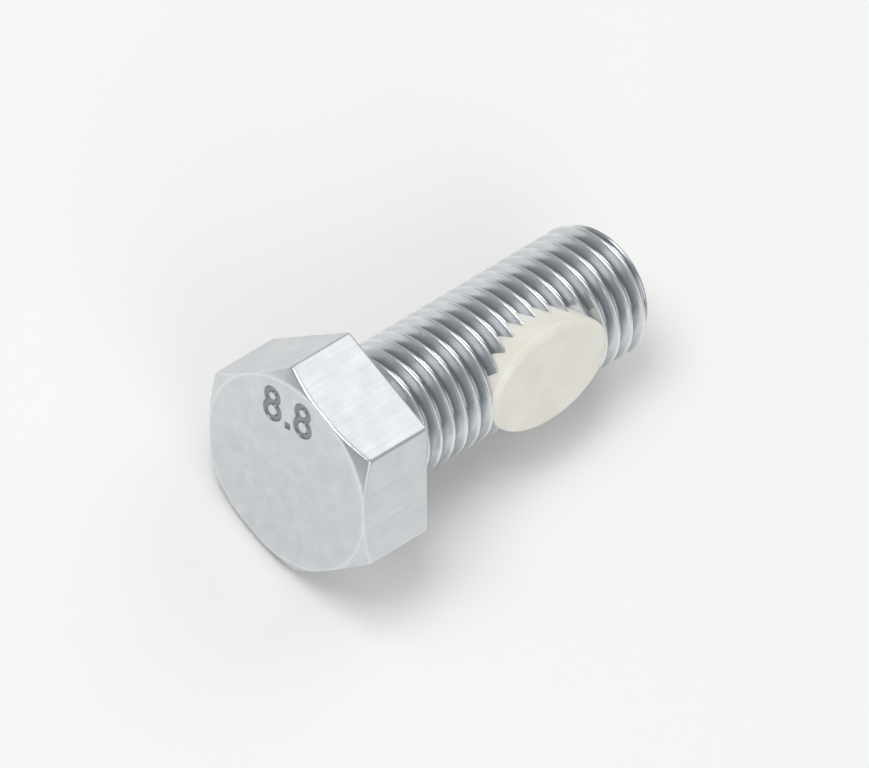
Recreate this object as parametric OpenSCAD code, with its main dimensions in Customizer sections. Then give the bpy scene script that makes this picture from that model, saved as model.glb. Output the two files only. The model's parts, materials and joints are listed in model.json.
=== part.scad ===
// Hexagon head set screw, threaded up to its head, with a plastic locking patch
// set into one side of the thread. It lies on a flat surface as it comes to rest,
// on one edge of its head and on the thread near its end. Each piece is drawn
// upright, with its axis on Z, the underside of the head at zero and the thread
// above it, and at_rest() then lays it down. Directions round the axis are
// counted from the flat of the head that the screw lies on.

/* [Head] */
// Width across the flats of the hexagon
across_flats = 24; // [20:1:30]
// Height of the head
head_h = 10; // [6:0.5:16]
// Slope of the chamfer round the end face
head_chamfer = 30; // [15:1:40]
// Radius of the fillet between the head and the neck
neck_fillet = 0.8; // [0.3:0.1:1.2]

/* [Thread] */
// Outer diameter of the thread
thread_d = 16; // [15:0.5:18]
// Distance from one crest to the next
pitch = 2; // [1.5:0.05:2.2]
// Angle between the two flanks of the thread
flank_angle = 60; // [55:1:62]
// Length of the shank, from under the head to its end
shank_l = 40; // [38:1:60]
// Length and depth of the chamfer at the end of the shank
tip_chamfer = 1.3; // [0.5:0.05:1.6]
// Distance from under the head to the first full crest
neck_l = 2.4; // [2:0.1:4]
// Slope with which the crests rise out of the neck
runout_angle = 30; // [20:1:45]
// Direction round the axis in which a crest would meet the underside of the head
thread_start = 186; // [0:1:359]
// Flat strips in one turn of the thread
turn_sides = 36; // [24:4:48]

/* [Locking patch] */
// Width of the patch, across the screw
patch_w = 12.3; // [8:0.1:12.4]
// Crest that the patch starts on, counted from the head
patch_first = 7; // [4:1:8]
// Turns of the thread from the start of the patch to its end
patch_turns = 9; // [5:1:10]
// Height of the flat top over the crests
patch_proud = 0.23; // [0.1:0.01:0.6]
// Width of the slope round the flat top
patch_bevel_w = 0.77; // [0.3:0.01:1.5]
// Height of the slope round the flat top
patch_bevel_h = 0.39; // [0.2:0.01:0.8]
// Direction of the patch, which is that of one of the head's flats
patch_turn = 240; // [0:60:300]
// Flat sides round the patch
patch_sides = 60; // [24:4:96]

/* [Hidden] */
round_sides = 96;
flat_r = across_flats / 2;
corner_r = flat_r / cos(30);

// Metric proportions of the thread: a crest is an eighth of the pitch wide, and
// the groove is 17/24 as deep as the sharp triangle on the pitch is high
thread_r = thread_d / 2;
triangle_h = pitch / 2 / tan(flank_angle / 2);
crest_w = pitch / 8;
root_r = thread_r - 17 / 24 * triangle_h;
neck_r = thread_r - 3 / 8 * triangle_h;
tip_r = thread_r - tip_chamfer;

// The ridge is drawn a little too tall, and is trimmed to round crests
ridge_spare = 0.1;
ridge_r = thread_r + ridge_spare;
ridge_top = crest_w - 2 * ridge_spare * tan(flank_angle / 2);
ridge_foot = ridge_top + 2 * (ridge_r - root_r) * tan(flank_angle / 2);
ridge = [
    [-ridge_foot / 2, root_r], [-ridge_top / 2, ridge_r],
    [ridge_top / 2, ridge_r], [ridge_foot / 2, root_r]
];

// How far the shank reaches into the head, so that the two are one solid
bite = 2;

// Height of a crest's middle, over the underside of the head
function crest_z(n, turn) = pitch * (n + (turn - thread_start) / 360);

// The patch starts and ends on a crest, just past its middle, so that it leaves
// no crumb beyond one
patch_lap = 0.4 * crest_w;
patch_start = crest_z(patch_first, patch_turn) - patch_lap;
patch_end = crest_z(patch_first + patch_turns, patch_turn) + patch_lap;
patch_l = patch_end - patch_start;
patch_top = thread_r + patch_proud;

// At rest the screw tips forward over the edge under its head, until one of the
// crests below its axis touches the surface: the one with the least to fall. A
// crest touches with its far edge, or with what the end chamfer leaves of it.
chamfer_z = shank_l - tip_chamfer;
flank_slope = tan(flank_angle / 2);
function crest_foot(near, far) =
    near > chamfer_z ? (near + flank_slope * chamfer_z) / (1 + flank_slope) : min(far, chamfer_z);
crest_feet = [
    for (n = [2:ceil(shank_l / pitch)])
        let (middle = crest_z(n, 0), foot = crest_foot(middle - crest_w / 2, middle + crest_w / 2))
            if (foot > neck_l && foot < shank_l) foot
];
function outline_r(z) = thread_r - max(0, z - chamfer_z);
rest_tilt = min([for (z = crest_feet) atan((flat_r - outline_r(z)) / z)]);
rest_height = flat_r * cos(rest_tilt);
rest_front = shank_l * cos(rest_tilt) + tip_r * sin(rest_tilt);
rest_back = -head_h * cos(rest_tilt) - flat_r * sin(rest_tilt);

// Two triangles for a panel with the corners a, b, c and d
function panel(a, b, c, d) = [[a, b, c], [a, c, d]];

// A helical ridge round its own core: the profile is set at each step of the
// helix, and each end is closed by a fan of triangles from the axis. The thread
// is whole between the heights low and high.
module thread(low, high) {
    first = floor((low / pitch - 1) * turn_sides);
    last = ceil((high / pitch + 1) * turn_sides);
    steps = last - first;
    corners = len(ridge);
    function at(step, corner) = step * corners + corner;
    start = at(steps + 1, 0);
    end = start + 1;
    points = [
        for (s = [first:last]) let (turn = s * 360 / turn_sides, lift = s * pitch / turn_sides)
            for (p = ridge) [p[1] * cos(turn), p[1] * sin(turn), p[0] + lift],
        [0, 0, first * pitch / turn_sides],
        [0, 0, last * pitch / turn_sides]
    ];
    ridge_panels = [
        for (s = [0:steps - 1], c = [0:corners - 2])
            each panel(at(s, c), at(s, c + 1), at(s + 1, c + 1), at(s + 1, c))
    ];
    groove_panels = [
        for (s = [0:steps - turn_sides - 1]) let (above = s + turn_sides)
            each panel(at(s, corners - 1), at(above, 0), at(above + 1, 0), at(s + 1, corners - 1))
    ];
    start_fan = [for (s = [0:turn_sides - 1]) [start, at(s, 0), at(s + 1, 0)]];
    start_step = [concat([start, at(turn_sides, 0)], [for (c = [corners - 1:-1:0]) at(0, c)])];
    end_fan = [for (s = [steps - turn_sides:steps - 1]) [end, at(s + 1, corners - 1), at(s, corners - 1)]];
    end_step = [concat([end, at(steps - turn_sides, corners - 1)], [for (c = [0:corners - 1]) at(steps, c)])];
    polyhedron(points, concat(ridge_panels, groove_panels, start_fan, start_step, end_fan, end_step));
}

// Half section that trims the thread: it gives the crests their round tops, lets
// them run out into the neck, and chamfers the end of the shank
module thread_outline() {
    foot_r = thread_r - (neck_l + bite) * tan(runout_angle);
    polygon([
        [0, -bite], [foot_r, -bite], [thread_r, neck_l],
        [thread_r, chamfer_z], [tip_r, shank_l], [0, shank_l]
    ]);
}

// The threaded part of the shank, cut off at the heights low and high
module threaded(low, high) {
    intersection() {
        rotate(thread_start) thread(low, high);
        rotate_extrude($fn = round_sides) intersection() {
            thread_outline();
            translate([0, low]) square([ridge_r, high - low]);
        }
    }
}

// Neck at the thread's pitch diameter, with its fillet under the head. The last
// groove runs up to it over a short cone, whose point is sunk below the groove.
module neck() {
    plain = neck_l / 2;
    sunk_r = 2 * root_r - neck_r;
    rotate_extrude($fn = round_sides)
        polygon([[0, -bite], [neck_r, -bite], [neck_r, plain], [sunk_r, neck_l], [0, neck_l]]);
    rotate_extrude($fn = round_sides) difference() {
        translate([neck_r - bite / 2, -bite / 2]) square(neck_fillet + bite / 2);
        translate([neck_r + neck_fillet, neck_fillet]) circle(neck_fillet, $fn = round_sides);
    }
}

// Hexagon with its end face chamfered to a circle that touches the flats
module head() {
    translate([0, 0, -head_h]) intersection() {
        rotate(30) cylinder(h = head_h, r = corner_r, $fn = 6);
        cylinder(h = head_h, r1 = flat_r, r2 = flat_r + head_h / tan(head_chamfer), $fn = round_sides);
    }
}

module patch_outline() {
    polygon([
        for (side = [0:patch_sides - 1]) let (t = side * 360 / patch_sides)
            [patch_l / 2 * cos(t), patch_w / 2 * sin(t)]
    ]);
}

// Oval pad with a sloped rim round its flat top, standing on the axis
module pad() {
    rim = patch_top - patch_bevel_h;
    linear_extrude(rim) patch_outline();
    translate([0, 0, rim])
        linear_extrude(
            patch_bevel_h,
            scale = [1 - 2 * patch_bevel_w / patch_l, 1 - 2 * patch_bevel_w / patch_w]
        )
            patch_outline();
}

module screw() {
    color("silver") at_rest() union() {
        head();
        neck();
        threaded(-bite, shank_l);
    }
}

// The pad fills the grooves under it, so its underside is the thread itself
module locking_patch() {
    color("ivory") at_rest() difference() {
        rotate(patch_turn) translate([0, 0, (patch_start + patch_end) / 2]) rotate([0, 90, 0]) pad();
        threaded(patch_start - pitch / 2, patch_end + pitch / 2);
    }
}

// Lays an upright piece down, with the surface at zero under the middle of the screw
module at_rest() {
    translate([-(rest_front + rest_back) / 2, 0, rest_height])
        rotate([0, 90 + rest_tilt, 0]) children();
}

screw();
locking_patch();
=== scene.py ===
"""A hexagon head set screw with a plastic locking patch, lying as it rests.

The forged head with its stamped numerals, the rolled thread and the oval patch
are smooth surfaces worked out from their own formulas. They lie exactly where
the two solids of the frame lie, and take their main sizes from its mounts.
"""
import json
import logging
import math
from dataclasses import dataclass
from enum import Enum
from typing import Any, ClassVar

import bpy
import numpy as np
from mathutils import Matrix, Vector
from numpy.typing import NDArray


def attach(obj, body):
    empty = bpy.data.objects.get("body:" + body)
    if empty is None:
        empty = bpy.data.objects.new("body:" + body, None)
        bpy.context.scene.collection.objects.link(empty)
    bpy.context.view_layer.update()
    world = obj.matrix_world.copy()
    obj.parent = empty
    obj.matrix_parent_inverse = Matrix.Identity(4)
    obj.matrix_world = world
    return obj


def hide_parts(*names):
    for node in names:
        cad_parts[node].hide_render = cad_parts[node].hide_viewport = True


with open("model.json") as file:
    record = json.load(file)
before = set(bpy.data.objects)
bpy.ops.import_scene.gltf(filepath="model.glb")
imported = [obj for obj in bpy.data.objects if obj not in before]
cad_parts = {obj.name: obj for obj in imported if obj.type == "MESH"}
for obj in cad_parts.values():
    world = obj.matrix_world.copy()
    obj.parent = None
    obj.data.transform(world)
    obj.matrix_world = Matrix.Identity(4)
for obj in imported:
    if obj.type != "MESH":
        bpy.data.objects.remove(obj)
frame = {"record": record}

LOG = logging.getLogger("set_screw")
MM = 0.001
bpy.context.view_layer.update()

Floats = NDArray[np.float64]
Indices = NDArray[np.int64]


def smooth_min(a: Floats, b: Floats, blend: float) -> Floats:
    """The smaller of two fields, with the crease between them rounded.

    Where the two differ by less than blend, the result dips below both by a
    quarter of the squared overlap, which turns the crease into an arc.

    Args:
        a: First field.
        b: Second field, of a shape that broadcasts with the first.
        blend: Difference up to which the crease is rounded.

    Returns:
        The rounded minimum.
    """
    overlap = np.maximum(blend - np.abs(a - b), 0.0) / blend
    return np.minimum(a, b) - overlap**2 * blend / 4


def smooth_max(a: Floats, b: Floats, blend: float) -> Floats:
    """The larger of two fields, rounded as smooth_min rounds the smaller one."""
    return -smooth_min(-a, -b, blend)


def eased(count: int) -> Floats:
    """Steps from 0 to 1 as a column, crowded at both ends like half a cosine wave."""
    return (0.5 - 0.5 * np.cos(np.linspace(0.0, np.pi, count)))[:, None]


def eased_out(count: int) -> Floats:
    """Steps from 0 to 1 as a column, crowded at the far end like a quarter sine wave."""
    return np.sin(np.linspace(0.0, np.pi / 2, count))[:, None]


def nearest(places: Floats, kept: Floats) -> Floats:
    """The nearest of the kept numbers, which rise, to each place."""
    return kept[np.searchsorted((kept[1:] + kept[:-1]) / 2, places)]


def bend(start: Floats, corner: Floats | float, end: Floats | float, count: int) -> Floats:
    """Rows of a curve that leaves one point, is drawn to a corner and ends at another.

    Each row is a mean of the three, weighted by the square of how far the row is
    from the end, twice the product of both distances, and the square of how far
    it is from the start.

    Args:
        start: Value of each column on the first row.
        corner: Value of each column at the corner.
        end: Value of each column on the last row.
        count: Number of rows.

    Returns:
        One row for each step and one column for each value.
    """
    step = np.linspace(0.0, 1.0, count)[:, None]
    return (1 - step) ** 2 * start + 2 * step * (1 - step) * corner + step**2 * end


def grid_triangles(rows: int, columns: int, closed: bool) -> Indices:
    """Triangles between the points of a grid that is numbered row by row.

    Args:
        rows: Number of rows of points.
        columns: Number of points in a row.
        closed: Whether the last column meets the first.

    Returns:
        One line of three point numbers for each triangle.
    """
    row = np.arange(rows - 1)[:, None] * columns
    column = np.arange(columns if closed else columns - 1)[None, :]
    after = (column + 1) % columns
    a, b, c, d = (
        corner.ravel()
        for corner in (row + column, row + after, row + columns + after, row + columns + column)
    )
    return np.concatenate([np.stack([a, b, c], 1), np.stack([a, c, d], 1)])


def round_points(radius: Floats, turn: Floats, along: Floats) -> Floats:
    """Points at a radius, a direction in radians and a place along the screw, in mm."""
    radius, turn, along = np.broadcast_arrays(radius, turn, along)
    return np.stack([radius * np.cos(turn), radius * np.sin(turn), along], -1).reshape(-1, 3)


@dataclass(frozen=True)
class ScrewFrame:
    """The screw's own axes and main sizes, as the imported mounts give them.

    A point has a distance down, one sideways and one along the screw, in mm from
    the middle of the underside of the head. A direction round the axis is
    counted from the flat that the head lies on.

    Args:
        origin: Middle of the underside of the head, in metres.
        axis: Direction from the head to the end of the shank.
        head_height: Height of the head.
        shank_length: Length of the shank.
        thread_radius: Radius of the thread over its crests.
    """

    origin: Vector
    axis: Vector
    head_height: float
    shank_length: float
    thread_radius: float

    @classmethod
    def from_record(cls, record: dict[str, Any]) -> "ScrewFrame":
        """Reads the axes and sizes from the mounts on the thread and the hexagon.

        Args:
            record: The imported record.

        Returns:
            The screw's frame.
        """
        mounts = {mount["name"]: mount for mount in record["mounts"]}
        thread = mounts["thread"]
        axis = Vector(thread["axis"]).normalized()
        length = thread["dims"]["length_mm"]
        return cls(
            origin=Vector(thread["pos_m"]) - axis * (length / 2 * MM),
            axis=axis,
            head_height=mounts["hexagon"]["dims"]["length_mm"],
            shank_length=length,
            thread_radius=thread["dims"]["r_mm"],
        )

    @property
    def matrix(self) -> Matrix:
        """Matrix from the screw's own axes to the frame, in metres.

        Returns:
            The matrix, whose columns are down, sideways, along the screw and its origin.
        """
        sideways = Vector((0.0, 1.0, 0.0))
        down = sideways.cross(self.axis).normalized()
        turned = Matrix((down, sideways, self.axis)).transposed().to_4x4()
        return Matrix.Translation(self.origin) @ turned

    def direction(self, turn_deg: float) -> Vector:
        """Direction in the frame at an angle round the screw's axis."""
        turn = math.radians(turn_deg)
        return self.matrix.to_3x3() @ Vector((math.cos(turn), math.sin(turn), 0.0))

    def place(self, points: Floats) -> Floats:
        """Points in the frame, in metres, for points in the screw's axes, in mm."""
        matrix = np.array(self.matrix)
        return points * MM @ matrix[:3, :3].T + matrix[:3, 3]


@dataclass
class Surface:
    """One stretch of a surface.

    Args:
        points: Distance down, sideways and along the screw for each point.
        triangles: Three point numbers for each triangle, facing outwards.
        finish: Number of the material.
        exposure: 1 where the surface stands out and is rubbed, -1 at the bottom of a groove, where shade
            is painted.
    """

    points: Floats
    triangles: Indices
    finish: int = 0
    exposure: Floats | None = None


@dataclass(frozen=True)
class MeshMaker:
    """Makes one object of surfaces that meet at shared points.

    Args:
        screw: The axes that the surfaces are worked out in.
        weld: Distance to which points are rounded before they are joined, in mm.
    """

    # Name of the attribute that holds each point's rubbed wear, above zero, and painted shade, below zero
    WEAR_AND_SHADE: ClassVar[str] = "exposure"

    screw: ScrewFrame
    weld: float = 1e-4

    def make(
        self,
        name: str,
        surfaces: list[Surface],
        materials: list[bpy.types.Material],
    ) -> bpy.types.Object:
        """Welds the surfaces at their shared points and links the object.

        Points that round to the same multiple of the weld become one, and a
        triangle that loses a corner by that is left out.

        Args:
            name: Name of the object.
            surfaces: The stretches of its surface.
            materials: The materials, in the order of the surfaces' numbers.

        Returns:
            The object, with its place in its mesh.
        """
        starts = np.cumsum([0] + [len(surface.points) for surface in surfaces[:-1]])
        points = np.concatenate([surface.points for surface in surfaces])
        triangles = np.concatenate([s.triangles + start for s, start in zip(surfaces, starts)])
        finish = np.concatenate([np.full(len(s.triangles), s.finish) for s in surfaces])
        exposure = np.concatenate(
            [np.zeros(len(s.points)) if s.exposure is None else s.exposure for s in surfaces]
        )
        cells = np.round(points / self.weld).astype(np.int64)
        _, kept, shared = np.unique(cells, axis=0, return_index=True, return_inverse=True)
        triangles = shared.reshape(-1)[triangles]
        a, b, c = triangles.T
        whole = (a != b) & (b != c) & (c != a)
        mesh = bpy.data.meshes.new(name)
        mesh.from_pydata(self.screw.place(points[kept]), [], triangles[whole])
        for material in materials:
            mesh.materials.append(material)
        mesh.polygons.foreach_set("material_index", finish[whole])
        mesh.attributes.new(self.WEAR_AND_SHADE, "FLOAT", "POINT").data.foreach_set("value", exposure[kept])
        mesh.shade_smooth()
        mesh.update()
        piece = bpy.data.objects.new(name, mesh)
        bpy.context.scene.collection.objects.link(piece)
        LOG.info("%s: %d points, %d triangles", name, len(kept), int(whole.sum()))
        return piece


class Zone(Enum):
    """How a stretch of the steel was formed, by the number of its material."""

    FORGED = 0
    TRIMMED = 1
    ROLLED = 2
    TURNED = 3


@dataclass(frozen=True)
class StampedNumerals:
    """Plain numerals stamped into the end face of the head.

    Each eight is two oval loops of one stroke, and the point between is a square.
    Places on the face are counted from the axis, across the text and up it.

    Args:
        up_deg: Direction of the text's top round the axis.
        eights: Place of the middle of each eight across the text.
        point: Place of the point's middle across the text and up it, and half its side.
        base: Lowest edge of the eights.
        text_height: Height of an eight.
        lower: Half width and half height of the lower loop, to its outside.
        upper: Half width and half height of the upper loop, to its outside.
        stroke: Width of the stroke at the face.
        depth: Depth of the stroke.
        draft: Fall of its sides for each mm across.
        edge_blend: Depth over which the edges of the stroke are rounded.
        floor_blend: Depth over which the foot of its sides is rounded.
        shade_depth: Depth at which the stroke takes the full painted shade of the bottom of a groove.
        band: Least and greatest distance from the axis to the stamped part of the face.
        half_deg: Half the angle that this part takes round the axis.
        cell: Distance between the points there.
    """

    up_deg: float = 151.1
    eights: tuple[float, float] = (-2.21, 2.43)
    point: tuple[float, float, float] = (0.13, 6.42, 0.44)
    base: float = 5.93
    text_height: float = 4.61
    lower: tuple[float, float] = (1.43, 1.45)
    upper: tuple[float, float] = (1.27, 1.25)
    stroke: float = 0.80
    depth: float = 0.24
    draft: float = 1.5
    edge_blend: float = 0.08
    floor_blend: float = 0.12
    shade_depth: float = 0.05
    band: tuple[float, float] = (5.86, 10.98)
    half_deg: float = 30.0
    cell: float = 0.06

    def radii(self) -> Floats:
        """Distances of the rows from the axis, as a column."""
        low, high = self.band
        return np.linspace(low, high, round((high - low) / self.cell))[:, None]

    def turns(self) -> Floats:
        """Directions of the columns through the text.

        Returns:
            The directions, in radians, as far apart as the rows at mid height.
        """
        count = round(math.radians(2 * self.half_deg) * sum(self.band) / 2 / self.cell)
        low, high = self.up_deg - self.half_deg, self.up_deg + self.half_deg
        return np.radians(np.linspace(low, high, count))

    def _loop(self, across: Floats, up: Floats, middle: float, half: tuple[float, float]) -> Floats:
        """Distance from the middle of the stroke of one oval loop.

        For a point at the share k of the oval through it, the distance to the
        oval itself is near k times k - 1, over the length of the gradient of k,
        which is kept from zero in the very middle.

        Args:
            across: Places across the loop, from its middle.
            up: Places up the text.
            middle: Height of the loop's middle in the text.
            half: Half width and half height of the loop, to its outside.

        Returns:
            The distance at each place.
        """
        wide = half[0] - self.stroke / 2
        tall = half[1] - self.stroke / 2
        up = up - middle
        share = np.hypot(across / wide, up / tall)
        least_gradient = 1e-6
        gradient = np.maximum(np.hypot(across / wide**2, up / tall**2), least_gradient)
        return np.abs(share * (share - 1)) / gradient

    def stamp(self, radius: Floats, turn: Floats) -> tuple[Floats, Floats]:
        """Depth of the stamp at a distance from the axis and a direction round it.

        The sides fall with their draft from the edge of the stroke to its floor,
        by how far a place is inside that edge.

        Args:
            radius: Distance from the axis.
            turn: Direction round the axis, in radians.

        Returns:
            The depth, and the value of wear and painted shade, which falls to -1 in the stroke, where
            shade is painted.
        """
        turned = turn - math.radians(self.up_deg)
        across = radius * np.sin(turned)
        up = radius * np.cos(turned)
        loops = (
            (self.base + self.lower[1], self.lower),
            (self.base + self.text_height - self.upper[1], self.upper),
        )
        dot_across, dot_up, dot_half = self.point
        off_dot = np.maximum(np.abs(across - dot_across), np.abs(up - dot_up)) - dot_half
        outside = off_dot + self.stroke / 2
        for eight in self.eights:
            for middle, half in loops:
                outside = np.minimum(outside, self._loop(across - eight, up, middle, half))
        inside = self.stroke / 2 - outside
        fall = smooth_min(inside * self.draft, np.full_like(inside, self.depth), self.floor_blend)
        sunk = smooth_max(fall, np.zeros_like(fall), self.edge_blend)
        # The stroke is painted darker as it sinks, as shade in the recess
        return sunk, -np.clip(sunk / self.shade_depth, 0.0, 1.0)


@dataclass(frozen=True)
class HexHead:
    """Forged hexagon head, with a chamfered end face and a fillet to the neck.

    Args:
        height: Height of the head.
        neck_radius: Radius that the fillet runs into.
        columns: Points in one turn of the neck.
        numerals: The numerals in the end face.
        across_flats: Width across the flats.
        chamfer_deg: Slope of the chamfer round the end face.
        fillet: Radius of the fillet under the head.
        edge_blend: Width over which the head's edges are rounded.
        beside_edges: Angles at which columns are added on both sides of each edge
            of the hexagon, in degrees.
    """

    # Rows of points on each stretch, from the middle of the end face to the neck
    MIDDLE_ROWS: ClassVar[int] = 7
    RIM_ROWS: ClassVar[int] = 9
    CHAMFER_ROWS: ClassVar[int] = 12
    FLAT_ROWS: ClassVar[int] = 18
    UNDER_ROWS: ClassVar[int] = 10
    FILLET_ROWS: ClassVar[int] = 9
    # A line that nears a face by a smaller share of its length than this is taken
    # to meet it only very far off
    LEAST_RATE: ClassVar[float] = 0.01

    height: float
    neck_radius: float
    columns: int
    numerals: StampedNumerals
    across_flats: float = 24.0
    chamfer_deg: float = 30.0
    fillet: float = 0.8
    edge_blend: float = 0.34
    beside_edges: tuple[float, ...] = (0.15, 0.4, 0.8, 1.6)

    @property
    def seat_radius(self) -> float:
        """Radius at which the underside runs into the fillet."""
        return self.neck_radius + self.fillet

    def _turns(self) -> tuple[Floats, Floats]:
        """Directions of the columns, with more of them at the hexagon's edges.

        Returns:
            The directions in radians, and the nearest of the neck's own columns.
        """
        even = np.arange(self.columns) * 2 * np.pi / self.columns
        beside = np.array([side * angle for side in (-1, 1) for angle in self.beside_edges])
        corners = np.radians(np.arange(30, 360, 60)[:, None] + beside[None, :])
        turns = np.sort(np.concatenate([even, corners.ravel()]))
        return turns[None, :], nearest(turns, even)[None, :]

    def _stamped(self, turn: Floats) -> Surface:
        """The ring of the end face that holds the numerals.

        It has more columns through the text. On its first and last row they are
        drawn together to those of the rest of the head.

        Args:
            turn: Directions of the head's columns, in radians.

        Returns:
            The ring.
        """
        fine = np.unique(np.concatenate([turn[0], self.numerals.turns()]))
        radius = self.numerals.radii()
        turns = np.repeat(fine[None, :], len(radius), 0)
        turns[[0, -1]] = nearest(fine, turn[0])
        sunk, exposure = self.numerals.stamp(radius, turns)
        points = round_points(radius, turns, sunk - self.height)
        return Surface(points, grid_triangles(*turns.shape, True), Zone.FORGED.value, exposure.ravel())

    def _rounded(self, radius: Floats, along: Floats, turn: Floats) -> tuple[Floats, Floats, Floats]:
        """Rounds the head's edges.

        A line from the middle of the head through each point meets the end face,
        the underside, the six flats and the chamfer's cone at some distances. The
        point goes to their rounded minimum on that line.

        Args:
            radius: Distance of each point from the axis, on sharp edges.
            along: Its place along the screw.
            turn: Its direction round the axis.

        Returns:
            The new radius and place, and how much of the rounding each point has.
        """
        middle = -self.height / 2
        reach = np.hypot(radius, along - middle)
        out = radius / reach
        rise = (along - middle) / reach
        slope = math.radians(self.chamfer_deg)
        cone = self.across_flats / 2 * math.sin(slope) + self.height / 2 * math.cos(slope)
        planes = [
            (self.height / 2, rise),
            (self.height / 2, -rise),
            (cone, out * math.sin(slope) - rise * math.cos(slope)),
        ]
        for flat in np.radians(np.arange(0, 360, 60)):
            planes.append((self.across_flats / 2, out * np.cos(turn - flat)))
        sharp = np.full_like(reach, 2 * self.across_flats)
        soft = sharp
        for distance, rate in planes:
            meets = distance / np.maximum(rate, self.LEAST_RATE)
            sharp = np.minimum(sharp, meets)
            soft = smooth_min(soft, meets, self.edge_blend)
        rubbed = np.clip((sharp - soft) / (self.edge_blend / 4), 0.0, 1.0)
        return out * soft, middle + rise * soft, rubbed

    def _fillet(self, turn: Floats, neck_turn: Floats) -> Surface:
        """The fillet, a quarter circle from the underside to the neck.

        On its last row the columns are drawn together to those of the neck.

        Args:
            turn: Directions of the head's columns, in radians.
            neck_turn: The nearest of the neck's own columns to each.

        Returns:
            The fillet.
        """
        angle = np.linspace(0.0, np.pi / 2, self.FILLET_ROWS)[:, None]
        turns = np.concatenate([np.repeat(turn, len(angle) - 1, 0), neck_turn])
        radius = self.seat_radius - self.fillet * np.sin(angle)
        points = round_points(radius, turns, self.fillet * (1 - np.cos(angle)))
        return Surface(points, grid_triangles(*turns.shape, True), Zone.ROLLED.value)

    def surfaces(self) -> list[Surface]:
        """The head, from the middle of its end face to the neck.

        In each direction the path runs out over the end face and down the chamfer
        to the flat, along the flat, in over the underside and round the fillet.
        The flat lies at half the width across flats over the cosine of the angle
        to the flat's middle, and the chamfer falls with its slope past the face.

        Returns:
            The middle of the end face, its rim with the chamfer, the flats, the
            underside, the stamped ring and the fillet.
        """
        turn, neck_turn = self._turns()
        same = np.ones_like(turn)
        face = self.across_flats / 2
        flat = face / np.cos((turn + np.pi / 6) % (np.pi / 3) - np.pi / 6)
        brim = (flat - face) * math.tan(math.radians(self.chamfer_deg)) - self.height
        low, high = self.numerals.band
        middle = np.linspace(0.0, low, self.MIDDLE_ROWS)[:, None] * same
        rim = (high + eased_out(self.RIM_ROWS) * (face - high)) * same
        down = eased(self.CHAMFER_ROWS)[1:]
        end_radius = np.concatenate([rim, face + down * (flat - face)])
        end_along = np.concatenate([0 * rim, down * (brim + self.height)]) - self.height
        along = eased(self.FLAT_ROWS)
        under = flat + eased(self.UNDER_ROWS) * (self.seat_radius - flat)
        stretches = [
            (middle, 0 * middle - self.height, Zone.FORGED),
            (end_radius, end_along, Zone.FORGED),
            (flat * np.ones_like(along), brim * (1 - along), Zone.TRIMMED),
            (under, np.zeros_like(under), Zone.FORGED),
        ]
        made = []
        for radius, place, zone in stretches:
            radius, place, rubbed = self._rounded(radius, place, turn)
            points = round_points(radius, turn, place)
            triangles = grid_triangles(*radius.shape, True)
            made.append(Surface(points, triangles, zone.value, rubbed.ravel()))
        return [*made, self._stamped(turn), self._fillet(turn, neck_turn)]


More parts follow.
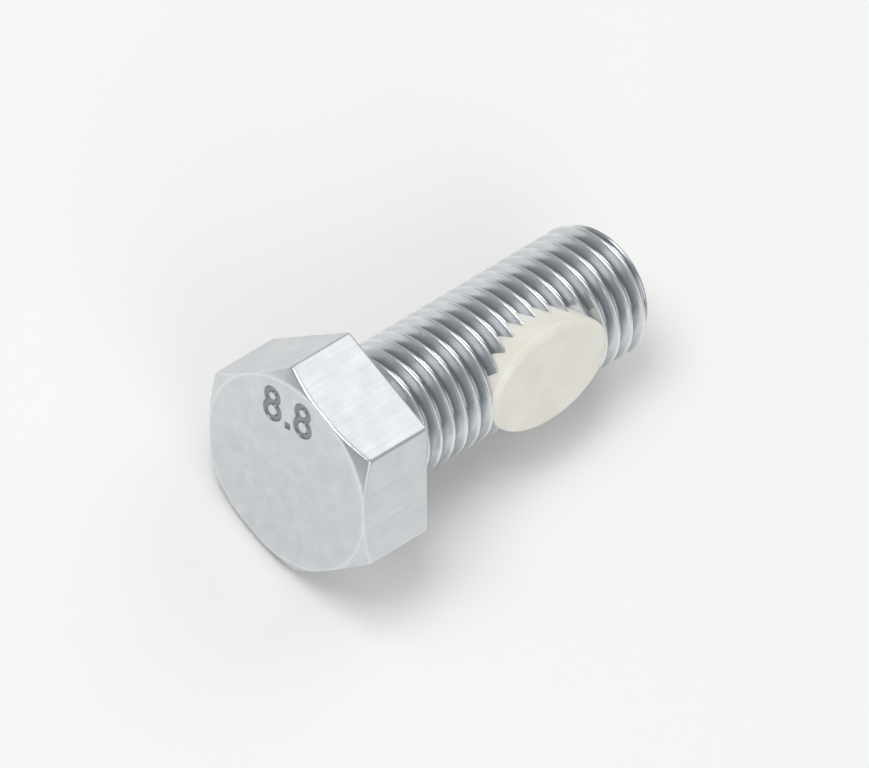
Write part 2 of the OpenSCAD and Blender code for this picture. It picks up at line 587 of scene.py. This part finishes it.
@dataclass(frozen=True)
class ThreadedShank:
    """Metric thread with its neck, run-out and chamfered end.

    Args:
        radius: Radius over the crests.
        length: Length of the shank, from the underside of the head.
        start: Where the thread begins, at the end of the fillet.
        pitch: Distance from one crest to the next.
        phase_deg: Direction in which a crest would meet the underside of the head.
        flank_deg: Half the angle between two flanks.
        runout_deg: Slope of the cone in which the crests rise out of the neck.
        neck_length: Distance from the head to the first full crest.
        tip_chamfer: Length and depth of the chamfer at the end.
        tip_bend: Length of the rounding between the chamfer and the end face.
        crest_blend: Width over which the edges of a crest are rounded.
        root_blend: Width over which the bottom of a groove is rounded.
        rub_depth: Depth under the crests down to which they are rubbed.
        rub_rise: Height over which the rubbing grows to its full.
        columns: Points in one turn.
    """

    # Places across the rounding of a crest's edge, as shares of it, and down the
    # flank, as shares of half a pitch
    EDGE_PLACES: ClassVar[tuple[float, ...]] = (-0.9, -0.35, 0.2, 0.8)
    FLANK_PLACES: ClassVar[tuple[float, ...]] = (0.30, 0.48, 0.66, 0.78, 0.88)
    # Turns that the strip is wound past either end of the thread
    SPARE_TURNS: ClassVar[int] = 2
    # Rows of points on the rounding of the tip and on the end face
    TIP_ROWS: ClassVar[int] = 7
    END_ROWS: ClassVar[int] = 14

    radius: float
    length: float
    start: float = 0.8
    pitch: float = 2.0
    phase_deg: float = 186.0
    flank_deg: float = 30.0
    runout_deg: float = 30.0
    neck_length: float = 2.4
    tip_chamfer: float = 1.3
    tip_bend: float = 0.16
    crest_blend: float = 0.10
    root_blend: float = 0.24
    rub_depth: float = 0.16
    rub_rise: float = 0.12
    columns: int = 144

    @property
    def sharp_height(self) -> float:
        """Height of the sharp triangle that stands on one pitch between two flanks."""
        return self.pitch / 2 / math.tan(math.radians(self.flank_deg))

    @property
    def root_radius(self) -> float:
        """Radius of the bottom of the grooves, 17/24 of the sharp triangle down."""
        return self.radius - 17 / 24 * self.sharp_height

    @property
    def neck_radius(self) -> float:
        """Radius of the neck, 3/8 of the sharp triangle down."""
        return self.radius - 3 / 8 * self.sharp_height

    def surface_radius(self, along: Floats, turn: Floats) -> Floats:
        """Radius of the shank at a place along it and a direction round it.

        The crest is flat for an eighth of the pitch, each flank falls with its
        slope, and the groove is flat at the bottom. The smaller of that and of
        the cones of the run-out and the tip counts, but at least the neck, which
        ends in a cone that falls away below the groove.

        Args:
            along: Distance from the underside of the head.
            turn: Direction round the axis, in radians.

        Returns:
            The radius, with rounded creases.
        """
        crest = self.pitch * (turn / (2 * np.pi) - self.phase_deg / 360)
        offset = np.abs((along - crest + self.pitch / 2) % self.pitch - self.pitch / 2)
        flank = self.radius - (offset - self.pitch / 16) / math.tan(math.radians(self.flank_deg))
        ridge = smooth_max(flank, np.full_like(flank, self.root_radius), self.root_blend)
        runout = self.radius - (self.neck_length - along) * math.tan(math.radians(self.runout_deg))
        tip = self.radius - (along - self.length + self.tip_chamfer)
        trimmed = smooth_min(ridge, np.minimum(np.minimum(runout, tip), self.radius), self.crest_blend)
        neck = self.neck_radius - np.maximum(along - self.neck_length / 2, 0.0)
        return smooth_max(trimmed, neck, self.crest_blend)

    def _across(self) -> Floats:
        """Places across one pitch, closer together at the crest's edges and in the root.

        Returns:
            The places, from the crest's middle to the last before the next crest.
        """
        rounding = self.crest_blend * math.tan(math.radians(self.flank_deg))
        crest = self.pitch / 16 + rounding * np.array(self.EDGE_PLACES)
        flank = self.pitch / 2 * np.array(self.FLANK_PLACES)
        half = np.concatenate([crest, flank])
        return np.concatenate([[0.0], half, [self.pitch / 2], self.pitch - half[::-1]])

    def _wear_and_shade(self, radius: Floats) -> Floats:
        """Rubbed wear on the crests and painted shade in the grooves, by the radius.

        Args:
            radius: Radius of each point.

        Returns:
            The exposure, from -1 at the bottom of a groove to 1 on a crest.
        """
        rubbed = np.clip((radius - self.radius + self.rub_depth) / self.rub_rise, 0.0, 1.0)
        # Painted shade, full at the bottom of the grooves
        painted_shade = np.clip((self.neck_radius - radius) / (self.neck_radius - self.root_radius), 0.0, 1.0)
        return (rubbed - painted_shade).ravel()

    def _thread(self) -> Surface:
        """The threaded surface, as one long strip wound round the axis.

        Each step turns by one column and rises by the same share of a pitch. Its
        points cross one pitch, and the last of them is joined to the first point
        of the step one turn later, so that rows of triangles run along the crests.
        Places past either end are held there, and so draw together into a circle.

        Returns:
            The strip, from the end of the fillet to the rounding of the tip.
        """
        end = self.length - self.tip_bend
        first = math.floor((self.start / self.pitch - self.SPARE_TURNS) * self.columns)
        last = math.ceil((end / self.pitch + self.SPARE_TURNS) * self.columns)
        across = self._across()
        step = np.arange(first, last)[:, None]
        rise = self.pitch * (step / self.columns - self.phase_deg / 360)
        along = np.clip(rise + across[None, :], self.start, end)
        turn = np.broadcast_to(2 * np.pi * (step % self.columns) / self.columns, along.shape)
        radius = self.surface_radius(along, turn)
        rows = across.size
        here = np.arange((len(step) - self.columns - 1) * rows)
        a_turn_on = (self.columns - 1) * rows
        above = here + 1 + np.where(here % rows == rows - 1, a_turn_on, 0)
        triangles = np.concatenate(
            [np.stack([here, here + rows, above + rows], 1), np.stack([here, above + rows, above], 1)]
        )
        points = round_points(radius, turn, along)
        return Surface(points, triangles, Zone.ROLLED.value, self._wear_and_shade(radius))

    def _end(self) -> Surface:
        """The end of the shank: the rounding of the tip and the flat face, in rings.

        Returns:
            The rings, from the last of the thread to the middle of the end face.
        """
        turn = (2 * np.pi * np.arange(self.columns) / self.columns)[None, :]
        place = np.full_like(turn, self.length - self.tip_bend)
        corner = self.radius - self.tip_chamfer
        face = corner - self.tip_bend
        edge = bend(self.surface_radius(place, turn), corner, face, self.TIP_ROWS)
        flat = face * np.linspace(1.0, 0.0, self.END_ROWS)[1:, None] * np.ones_like(turn)
        edge_along = bend(place, self.length, self.length, self.TIP_ROWS)
        radius = np.concatenate([edge, flat])
        along = np.concatenate([edge_along, np.full_like(flat, self.length)])
        triangles = grid_triangles(*radius.shape, True)
        return Surface(round_points(radius, turn, along), triangles, Zone.TURNED.value)

    def surfaces(self) -> list[Surface]:
        """The thread, from the end of the fillet, and the end of the shank."""
        return [self._thread(), self._end()]


@dataclass(frozen=True)
class LockingPatch:
    """Oval pad set into one side of the thread, with a slope round its flat top.

    Args:
        shank: The shank that carries it.
        turn_deg: Direction of the pad round the screw.
        first_crest: Crest that the pad starts on, counted from the head.
        turns: Turns of the thread from one end of the pad to the other.
        lap: How far the pad reaches past those crests' middles.
        width: Width of the pad, across the screw.
        proud: Height of the flat top over the crests.
        slope_width: Width of the slope round the flat top.
        slope_height: Height of that slope.
        top_blend: Height over which the edge of the flat top is rounded.
        rim_bend: Length of the rounding between the slope and the wall.
        embed: Depth to which the pad reaches into the steel, so that no gap shows.
        columns: Points round the pad.
        rings: Rings of points on the flat top.
    """

    # Rows of points on the slope, on the rounding of its rim and on the wall
    SLOPE_ROWS: ClassVar[int] = 16
    RIM_ROWS: ClassVar[int] = 8
    WALL_ROWS: ClassVar[int] = 12
    # Passes in which the height of the steel under the pad is worked out, and the
    # least that it may be
    PASSES: ClassVar[int] = 12
    LEAST_HEIGHT: ClassVar[float] = 1.0

    shank: ThreadedShank
    turn_deg: float = 240.0
    first_crest: int = 7
    turns: int = 9
    lap: float = 0.1
    width: float = 12.3
    proud: float = 0.23
    slope_width: float = 0.77
    slope_height: float = 0.39
    top_blend: float = 0.05
    rim_bend: float = 0.10
    embed: float = 0.03
    columns: int = 600
    rings: int = 48

    @property
    def length(self) -> float:
        """Length of the pad, along the screw."""
        return self.turns * self.shank.pitch + 2 * self.lap

    @property
    def middle(self) -> float:
        """Place of the pad's middle along the screw."""
        crests = self.first_crest + self.turns / 2
        return self.shank.pitch * (crests + (self.turn_deg - self.shank.phase_deg) / 360)

    @property
    def rim_height(self) -> float:
        """Height of the slope's lower edge over the screw's axis."""
        return self.shank.radius + self.proud - self.slope_height

    def _steel_height(self, along: Floats, sideways: Floats) -> Floats:
        """Height of the thread under the pad, over the plane of the screw's axis.

        A place at a height h and sideways by v is at the radius that has h and v
        as its legs, and the thread's radius there depends on its direction, whose
        tangent is v over h. Each pass works the height out from the last one.

        Args:
            along: Places along the screw, from the pad's middle.
            sideways: Places sideways from the pad's middle line.

        Returns:
            The height at each place.
        """
        height = np.full_like(along, self.shank.root_radius)
        for _ in range(self.PASSES):
            turn = math.radians(self.turn_deg) + np.arctan2(sideways, height)
            radius = self.shank.surface_radius(self.middle + along, turn)
            height = np.sqrt(np.maximum(radius**2 - sideways**2, self.LEAST_HEIGHT**2))
        return height

    def _top(self, turn: Floats) -> tuple[Floats, Floats, Floats]:
        """The flat top and the slope round it, in rings from the middle.

        Rings on the slope are the pad's oval less an inset on both half axes, and
        further in they shrink to the middle. The height is the smaller of the
        flat's and of the slope's, rounded.

        Args:
            turn: Directions of the columns round the pad, in radians.

        Returns:
            Places along the screw and sideways, from the pad's middle, and heights
            over the screw's axis.
        """
        top = self.shank.radius + self.proud
        flat_from = self.slope_width * (1 + self.top_blend / self.slope_height)
        shrink = np.linspace(0.0, 1.0, self.rings)[:-1, None]
        inset = flat_from + (self.rim_bend - flat_from) * eased(self.SLOPE_ROWS)
        half_length, half_width = (
            np.concatenate([shrink * (half - flat_from), half - inset])
            for half in (self.length / 2, self.width / 2)
        )
        slope = self.rim_height + inset * self.slope_height / self.slope_width
        cover = smooth_min(slope, np.full_like(slope, top), self.top_blend)
        cover = np.concatenate([np.full_like(shrink, top), cover])
        return half_length * np.cos(turn), half_width * np.sin(turn), cover * np.ones_like(turn)

    def surfaces(self) -> list[Surface]:
        """The pad from the middle of its top, over its wall, to the middle below.

        The rim is rounded from the slope to the wall. The wall drops to the thread,
        and the underside is the thread itself, kept a little below the top.

        Returns:
            The closed pad.
        """
        turn = 2 * np.pi * np.arange(self.columns)[None, :] / self.columns
        along, sideways, cover = self._top(turn)
        under = np.minimum(self._steel_height(along, sideways), cover) - self.embed
        edge_along = self.length / 2 * np.cos(turn)
        edge_sideways = self.width / 2 * np.sin(turn)
        low = self.rim_height - self.rim_bend
        foot = np.minimum(self._steel_height(edge_along, edge_sideways), low) - self.embed
        drop = low + eased(self.WALL_ROWS)[1:] * (foot - low)
        wall_along = np.repeat(edge_along, len(drop), 0)
        wall_sideways = np.repeat(edge_sideways, len(drop), 0)
        along, sideways, height = (
            np.concatenate([over, bend(over[-1:], corner, end, self.RIM_ROWS)[1:], wall, below[::-1]])
            for over, corner, end, wall, below in (
                (along, edge_along, edge_along, wall_along, along),
                (sideways, edge_sideways, edge_sideways, wall_sideways, sideways),
                (cover, self.rim_height, low, drop, under),
            )
        )
        up = math.radians(self.turn_deg)
        points = np.stack(
            [
                height * math.cos(up) - sideways * math.sin(up),
                height * math.sin(up) + sideways * math.cos(up),
                self.middle + along,
            ],
            -1,
        )
        return [Surface(points.reshape(-1, 3), grid_triangles(*height.shape, True))]


def linear(hex_colour: str) -> tuple[float, float, float, float]:
    """Linear colour of an sRGB colour.

    Each channel is divided by 12.92 near black, and elsewhere follows the curve
    of sRGB with its exponent of 2.4.

    Args:
        hex_colour: Colour such as "#C0C4C8".

    Returns:
        Red, green and blue from 0 to 1, and full alpha.
    """
    channels = [int(hex_colour[i : i + 2], 16) / 255 for i in (1, 3, 5)]
    red, green, blue = (c / 12.92 if c <= 0.04045 else ((c + 0.055) / 1.055) ** 2.4 for c in channels)
    return red, green, blue, 1.0


def add_node(
    tree: bpy.types.NodeTree,
    kind: str,
    inputs: dict[str | int, Any] | None = None,
    **settings: Any,
) -> bpy.types.Node:
    """Adds a node with its settings, and sets or links its inputs.

    Args:
        tree: The node tree.
        kind: Type of the node.
        inputs: Value or linked output for each input, by its name or number.
        **settings: Properties of the node.

    Returns:
        The node.
    """
    node = tree.nodes.new(kind)
    for name, value in settings.items():
        setattr(node, name, value)
    for name, value in (inputs or {}).items():
        if isinstance(value, bpy.types.NodeSocket):
            tree.links.new(value, node.inputs[name])
        else:
            node.inputs[name].default_value = value
    return node


def new_material(name: str) -> tuple[bpy.types.Material, bpy.types.NodeTree]:
    """Makes an empty material.

    Args:
        name: Name of the material.

    Returns:
        The material and its node tree, which has no nodes yet.
    """
    material = bpy.data.materials.new(name)
    material.use_nodes = True
    material.node_tree.nodes.clear()
    return material, material.node_tree


class Marks(Enum):
    """Which way the marks of forming run on the steel.

    The value scales the places down, sideways and along the screw before they
    meet the noise, so that a small number draws the marks out that way.
    """

    NONE = (1.0, 1.0, 1.0)
    ALONG = (1.0, 1.0, 0.03)
    AROUND = (1.0, 0.0, 1.0)


@dataclass(frozen=True)
class ZincPlatedSteel:
    """Cold-formed steel with clear zinc plate, barrel plated.

    The plate is thin and follows the formed surface, so the eye sees a pale and
    slightly blue silver whose reflections are soft, with the marks of the die or
    the rolls under it. In the barrel the edges are rubbed brighter and the
    surfaces take a few small nicks. The grooves and the stamped strokes are painted darker, as shade.

    Args:
        name: Name of the material.
        marks: Which way the marks of forming run.
        mark_size: Width of a mark, in mm.
        mark_depth: Depth of a mark, in mm.
        roughness: Least and greatest roughness between the clouds of the plate.
        bright: Colour of the plate.
        dull: Colour of the plate in its duller clouds.
        edge: Colour of rubbed edges.
        groove: Colour of the painted shade at the bottom of a groove and in a stamped stroke.
        cloud_size: Size of the clouds in the plate, in mm.
        grain_size: Size of the plate's grain, drawn coarse enough to show, in mm.
        grain_depth: Depth of the grain, in mm.
        nick_spacing: Distance between the places that may hold a nick, in mm.
        nick_size: Half width of a nick, in mm.
        nick_depth: Depth of a nick, in mm.
        mark_share: How far colour and gloss follow the marks, and not the clouds.
        noise_span: Values of the noise that are spread over the whole change.
        edge_share: Share of the edge's colour where the surface is rubbed most.
        groove_shade_share: Share of the painted shade's colour at the bottom of a groove.
    """

    name: str
    marks: Marks
    mark_size: float
    mark_depth: float
    roughness: tuple[float, float] = (0.27, 0.35)
    bright: str = "#D9DCDE"
    dull: str = "#CDD2D6"
    edge: str = "#E8EAEB"
    # Painted shade for the grooves and the stamped strokes
    groove: str = "#82888E"
    cloud_size: float = 2.4
    grain_size: float = 0.26
    grain_depth: float = 0.005
    nick_spacing: float = 3.8
    nick_size: float = 0.45
    nick_depth: float = 0.02
    mark_share: float = 0.5
    noise_span: tuple[float, float] = (0.35, 0.65)
    edge_share: float = 0.8
    groove_shade_share: float = 0.85

    def make(self, screw: ScrewFrame) -> bpy.types.Material:
        """Builds the material, with its patterns in the screw's own axes.

        Args:
            screw: The screw's axes.

        Returns:
            The material.
        """
        material, tree = new_material(self.name)
        placing = {
            "Vector": add_node(tree, "ShaderNodeTexCoord").outputs["Object"],
            "Location": screw.origin,
            "Rotation": screw.matrix.to_euler(),
            "Scale": (MM, MM, MM),
        }
        spot = add_node(tree, "ShaderNodeMapping", placing, vector_type="TEXTURE").outputs[0]
        noises = []
        for place, size, detail in (
            (spot, self.cloud_size, 4.0),
            (spot, self.grain_size, 2.0),
            (self._mark_place(tree, spot), self.mark_size, 3.0),
        ):
            pattern = {"Vector": place, "Scale": 1 / size, "Detail": detail}
            noises.append(add_node(tree, "ShaderNodeTexNoise", pattern).outputs[0])
        clouds, grain, marks = noises
        pattern = {"Vector": spot, "Scale": 1 / self.nick_spacing}
        nicks = add_node(tree, "ShaderNodeTexVoronoi", pattern).outputs["Distance"]
        exposure = add_node(tree, "ShaderNodeAttribute", attribute_name=MeshMaker.WEAR_AND_SHADE).outputs["Fac"]
        mixed = {0: self.mark_share, 2: clouds, 3: marks}
        both = add_node(tree, "ShaderNodeMix", mixed, data_type="FLOAT").outputs[0]
        ranges = []
        for value, (low, high), (to_low, to_high) in (
            (both, self.noise_span, (0.0, 1.0)),
            (exposure, (0.0, 1.0), (0.0, self.edge_share)),
            (exposure, (0.0, -1.0), (0.0, self.groove_shade_share)),
            (both, self.noise_span, self.roughness[::-1]),
            (nicks, (0.0, self.nick_size / self.nick_spacing), (0.0, 1.0)),
        ):
            span = {"Value": value, "From Min": low, "From Max": high, "To Min": to_low, "To Max": to_high}
            ranges.append(add_node(tree, "ShaderNodeMapRange", span).outputs[0])
        cloudy, rubbed, painted_shade, rough, dents = ranges
        # A mix node takes its two colours at inputs 6 and 7 and gives one at output 2
        colour = linear(self.dull)
        # Rubbed edges are lighter with wear, and the grooves and stamped strokes take the groove colour as
        # painted shade
        for share, other in ((cloudy, self.bright), (rubbed, self.edge), (painted_shade, self.groove)):
            mixed = {0: share, 6: colour, 7: linear(other)}
            colour = add_node(tree, "ShaderNodeMix", mixed, data_type="RGBA").outputs[2]
        bumps = ((dents, self.nick_depth), (marks, self.mark_depth), (grain, self.grain_depth))
        relief = {}
        for height, depth in bumps:
            bump = {"Height": height, "Distance": depth * MM, **relief}
            relief = {"Normal": add_node(tree, "ShaderNodeBump", bump).outputs[0]}
        surface = {"Base Color": colour, "Metallic": 1.0, "Roughness": rough, **relief}
        shader = add_node(tree, "ShaderNodeBsdfPrincipled", surface).outputs[0]
        add_node(tree, "ShaderNodeOutputMaterial", {"Surface": shader})
        return material

    def _mark_place(self, tree: bpy.types.NodeTree, spot: bpy.types.NodeSocket) -> bpy.types.NodeSocket:
        """Places at which the marks are looked up.

        Args:
            tree: The node tree.
            spot: Places in the screw's own axes.

        Returns:
            The places scaled by the marks' value, or for marks that run around
            the screw the distance from its axis in place of the first number.
        """
        if self.marks is Marks.AROUND:
            flat = add_node(
                tree, "ShaderNodeVectorMath", {0: spot, 1: (1.0, 1.0, 0.0)}, operation="MULTIPLY"
            ).outputs[0]
            radius = add_node(tree, "ShaderNodeVectorMath", {0: flat}, operation="LENGTH").outputs["Value"]
            along = add_node(tree, "ShaderNodeSeparateXYZ", {0: spot}).outputs["Z"]
            spot = add_node(tree, "ShaderNodeCombineXYZ", {"X": radius, "Z": along}).outputs[0]
        return add_node(
            tree, "ShaderNodeVectorMath", {0: spot, 1: self.marks.value}, operation="MULTIPLY"
        ).outputs[0]


@dataclass(frozen=True)
class Polyamide:
    """Natural polyamide, fused on the thread and left to set.

    Undyed, it is a warm off-white that light enters a little way, so the eye sees
    soft edges and a waxy gloss that is broken by a slight orange peel.

    Args:
        name: Name of the material.
        colour: Colour of the plastic.
        shade: Colour where it is a little thicker or duller.
        roughness: Least and greatest roughness.
        cloud_size: Size of the change of colour, in mm.
        peel_size: Size of the orange peel, in mm.
        peel_depth: Depth of the orange peel, in mm.
        grain_size: Size of the grain, drawn coarse enough to show, in mm.
        grain_depth: Depth of the grain, in mm.
        ior: Index of refraction.
        glow: Share of the light that enters.
        glow_depth: Depth to which it enters, in mm.
        glow_reach: How far red, green and blue go, as shares of that depth.
        noise_span: Values of the noise that are spread over the whole change.
    """

    name: str = "natural_polyamide"
    colour: str = "#F3F1E9"
    shade: str = "#EBE8DC"
    roughness: tuple[float, float] = (0.34, 0.44)
    cloud_size: float = 3.6
    peel_size: float = 1.1
    peel_depth: float = 0.012
    grain_size: float = 0.25
    grain_depth: float = 0.002
    ior: float = 1.53
    glow: float = 0.25
    glow_depth: float = 0.8
    glow_reach: tuple[float, float, float] = (1.0, 0.85, 0.6)
    noise_span: tuple[float, float] = (0.3, 0.7)

    def make(self, screw: ScrewFrame) -> bpy.types.Material:
        """Builds the material, with its patterns in mm from the head's underside.

        Args:
            screw: The screw's axes.

        Returns:
            The material.
        """
        material, tree = new_material(self.name)
        spot = add_node(tree, "ShaderNodeTexCoord").outputs["Object"]
        placing = {"Vector": spot, "Location": screw.origin, "Scale": (MM, MM, MM)}
        spot = add_node(tree, "ShaderNodeMapping", placing, vector_type="TEXTURE").outputs[0]
        noises = []
        for size, detail in ((self.cloud_size, 3.0), (self.peel_size, 1.0), (self.grain_size, 2.0)):
            pattern = {"Vector": spot, "Scale": 1 / size, "Detail": detail}
            noises.append(add_node(tree, "ShaderNodeTexNoise", pattern).outputs[0])
        clouds, peel, grain = noises
        low, high = self.noise_span
        ranges = []
        for value, to_low, to_high in ((clouds, 0.0, 1.0), (peel, *self.roughness)):
            span = {"Value": value, "From Min": low, "From Max": high, "To Min": to_low, "To Max": to_high}
            ranges.append(add_node(tree, "ShaderNodeMapRange", span).outputs[0])
        cloudy, rough = ranges
        # A mix node takes its two colours at inputs 6 and 7 and gives one at output 2
        mixed = {0: cloudy, 6: linear(self.shade), 7: linear(self.colour)}
        colour = add_node(tree, "ShaderNodeMix", mixed, data_type="RGBA").outputs[2]
        relief = {}
        for height, depth in ((peel, self.peel_depth), (grain, self.grain_depth)):
            bump = {"Height": height, "Distance": depth * MM, **relief}
            relief = {"Normal": add_node(tree, "ShaderNodeBump", bump).outputs[0]}
        surface = {
            "Base Color": colour,
            "Roughness": rough,
            "IOR": self.ior,
            "Subsurface Weight": self.glow,
            "Subsurface Radius": self.glow_reach,
            "Subsurface Scale": self.glow_depth * MM,
            **relief,
        }
        shader = add_node(tree, "ShaderNodeBsdfPrincipled", surface).outputs[0]
        add_node(tree, "ShaderNodeOutputMaterial", {"Surface": shader})
        return material


@dataclass(frozen=True)
class Softbox:
    """Square soft light that faces the screw.

    Args:
        name: Name of the light.
        toward: Direction from the screw to the light.
        level: Light on a surface that faces it, as a share of white.
        distance: Distance from the screw, in metres.
        side: Length of its side, in metres.
    """

    name: str
    toward: tuple[float, float, float]
    level: float
    distance: float = 1.2
    side: float = 0.6

    def build(self) -> None:
        """Adds the light, with the power that gives its level at its distance.

        A square lamp of power P lights what faces it with P over pi and the
        squared distance, and a white surface shows that over pi.
        """
        lamp = bpy.data.lights.new(self.name, "AREA")
        lamp.size = self.side
        lamp.energy = self.level * math.pi**2 * self.distance**2
        light = bpy.data.objects.new(self.name, lamp)
        toward = Vector(self.toward).normalized()
        light.location = toward * self.distance
        light.rotation_euler = toward.to_track_quat("Z", "Y").to_euler()
        bpy.context.scene.collection.objects.link(light)


@dataclass(frozen=True)
class Studio:
    """Plain pale floor under soft light.

    Args:
        floor_colour: Colour of the floor.
        floor_side: Length of the floor's side, in metres.
        sky: Level of the light that comes from all round.
        softboxes: The soft lights.
    """

    floor_colour: str = "#FAFAF9"
    floor_side: float = 6.0
    sky: float = 0.43
    softboxes: tuple[Softbox, ...] = (
        Softbox("key", (-0.348, 0.292, 0.891), 0.434),
        Softbox("panel", (0.6565, 0.211, 0.7244), 0.17, side=0.9),
        Softbox("fill", (-0.30, -0.85, 0.50), 0.20, side=0.9),
    )

    def build(self) -> None:
        """Adds the floor, the world and the lights, and sets the plain view."""
        half = self.floor_side / 2
        corners = [(-half, -half, 0.0), (half, -half, 0.0), (half, half, 0.0), (-half, half, 0.0)]
        mesh = bpy.data.meshes.new("floor")
        mesh.from_pydata(corners, [], [(0, 1, 2, 3)])
        mesh.materials.append(self._card())
        floor = bpy.data.objects.new("floor", mesh)
        bpy.context.scene.collection.objects.link(floor)
        world = bpy.data.worlds.new("soft_sky")
        world.use_nodes = True
        tree = world.node_tree
        tree.nodes.clear()
        sky = add_node(tree, "ShaderNodeBackground", {"Color": linear("#FFFFFF"), "Strength": self.sky})
        add_node(tree, "ShaderNodeOutputWorld", {"Surface": sky.outputs[0]})
        bpy.context.scene.world = world
        for softbox in self.softboxes:
            softbox.build()
        bpy.context.scene.view_settings.view_transform = "Standard"

    def _card(self) -> bpy.types.Material:
        """Matt pale card, which only scatters light.

        Returns:
            The material.
        """
        material, tree = new_material("pale_card")
        card = add_node(tree, "ShaderNodeBsdfDiffuse", {"Color": linear(self.floor_colour)})
        add_node(tree, "ShaderNodeOutputMaterial", {"Surface": card.outputs[0]})
        return material


@dataclass(frozen=True)
class Viewpoint:
    """The photograph's view: isometric on the screw's axes, less a small trim.

    The picture is drawn without perspective, and so long a lens has next to none.

    Args:
        patch_deg: Direction of the patch round the screw, which looks at the viewer.
        trim_deg: Small turn about the axis, the patch's direction and the corner's.
        picture: Width and height of the picture, in pixels.
        scale: Pixels to one mm, at the middle of the underside of the head.
        middle_pixel: Pixel of that middle.
        focal_length: Focal length of the lens, in mm.
    """

    patch_deg: float
    trim_deg: tuple[float, float, float] = (-0.269, -0.431, -0.476)
    picture: tuple[int, int] = (869, 768)
    scale: float = 9.1001
    middle_pixel: tuple[float, float] = (349.90, 434.35)
    focal_length: float = 1200.0

    def build(self, screw: ScrewFrame) -> None:
        """Adds the camera.

        The corner of the head that is up in the picture lies a quarter turn before
        the patch. The picture's right is halfway between the axis and the patch's
        direction, its up is the axis less the patch plus twice the corner, and the
        viewer stands where the patch and the corner point, less the axis. The
        distance is to the width of the view as the focal length is to the width of
        the sensor.

        Args:
            screw: The screw's axes.
        """
        patch, corner = screw.direction(self.patch_deg), screw.direction(self.patch_deg - 90)
        axes = Matrix((screw.axis, patch, corner))
        right = Vector((1.0, 1.0, 0.0)).normalized()
        up = Vector((1.0, -1.0, 2.0)).normalized()
        back = Vector((-1.0, 1.0, 1.0)).normalized()
        trim = Vector(self.trim_deg)
        trimmed = Matrix((right, up, back)) @ Matrix.Rotation(math.radians(trim.length), 3, trim)
        right, up, back = trimmed @ axes
        width, height = self.picture
        across = (width / 2 - self.middle_pixel[0]) / self.scale * MM
        above = (self.middle_pixel[1] - height / 2) / self.scale * MM
        lens = bpy.data.cameras.new("camera")
        lens.lens = self.focal_length
        distance = width / self.scale * MM * self.focal_length / lens.sensor_width
        camera = bpy.data.objects.new("camera", lens)
        place = screw.origin + right * across + up * above + back * distance
        turned = Matrix((right, up, back)).transposed().to_4x4()
        camera.matrix_world = Matrix.Translation(place) @ turned
        bpy.context.scene.collection.objects.link(camera)
        bpy.context.scene.camera = camera


def hand_over(piece: bpy.types.Object, slot: str, node: str) -> None:
    """Rides a piece on the part's one body and names what it stands for.

    Args:
        piece: The piece.
        slot: Slot of the record's material.
        node: Node of the frame that the piece stands for.
    """
    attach(piece, "root")
    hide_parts(node)
    LOG.info("%s stands for %s in %s", piece.name, node, slot)


def main() -> None:
    """Builds the view, the studio, the screw and its patch."""
    logging.basicConfig(level=logging.INFO, format="%(name)s: %(message)s")
    screw = ScrewFrame.from_record(frame["record"])
    shank = ThreadedShank(screw.thread_radius, screw.shank_length)
    head = HexHead(
        screw.head_height, shank.neck_radius, shank.columns, StampedNumerals(), fillet=shank.start
    )
    pad = LockingPatch(shank)
    Viewpoint(pad.turn_deg).build(screw)
    Studio().build()
    steel = {
        Zone.FORGED: ZincPlatedSteel("forged_zinc_plated_steel", Marks.NONE, 1.3, 0.010),
        Zone.TRIMMED: ZincPlatedSteel("trimmed_zinc_plated_steel", Marks.ALONG, 0.34, 0.009),
        Zone.ROLLED: ZincPlatedSteel("rolled_zinc_plated_steel", Marks.AROUND, 0.18, 0.003, (0.19, 0.27)),
        Zone.TURNED: ZincPlatedSteel("turned_zinc_plated_steel", Marks.AROUND, 0.30, 0.008),
    }
    finishes = {zone: finish.make(screw) for zone, finish in steel.items()}
    maker = MeshMaker(screw)
    body = maker.make(
        "steel_screw",
        [*head.surfaces(), *shank.surfaces()],
        [finishes[zone] for zone in Zone],
    )
    hand_over(body, "zinc_plated_steel", "screw")
    patch = maker.make("oval_patch", pad.surfaces(), [Polyamide().make(screw)])
    hand_over(patch, "polyamide", "locking_patch")
    bpy.context.view_layer.update()


if __name__ == "__main__":
    main()
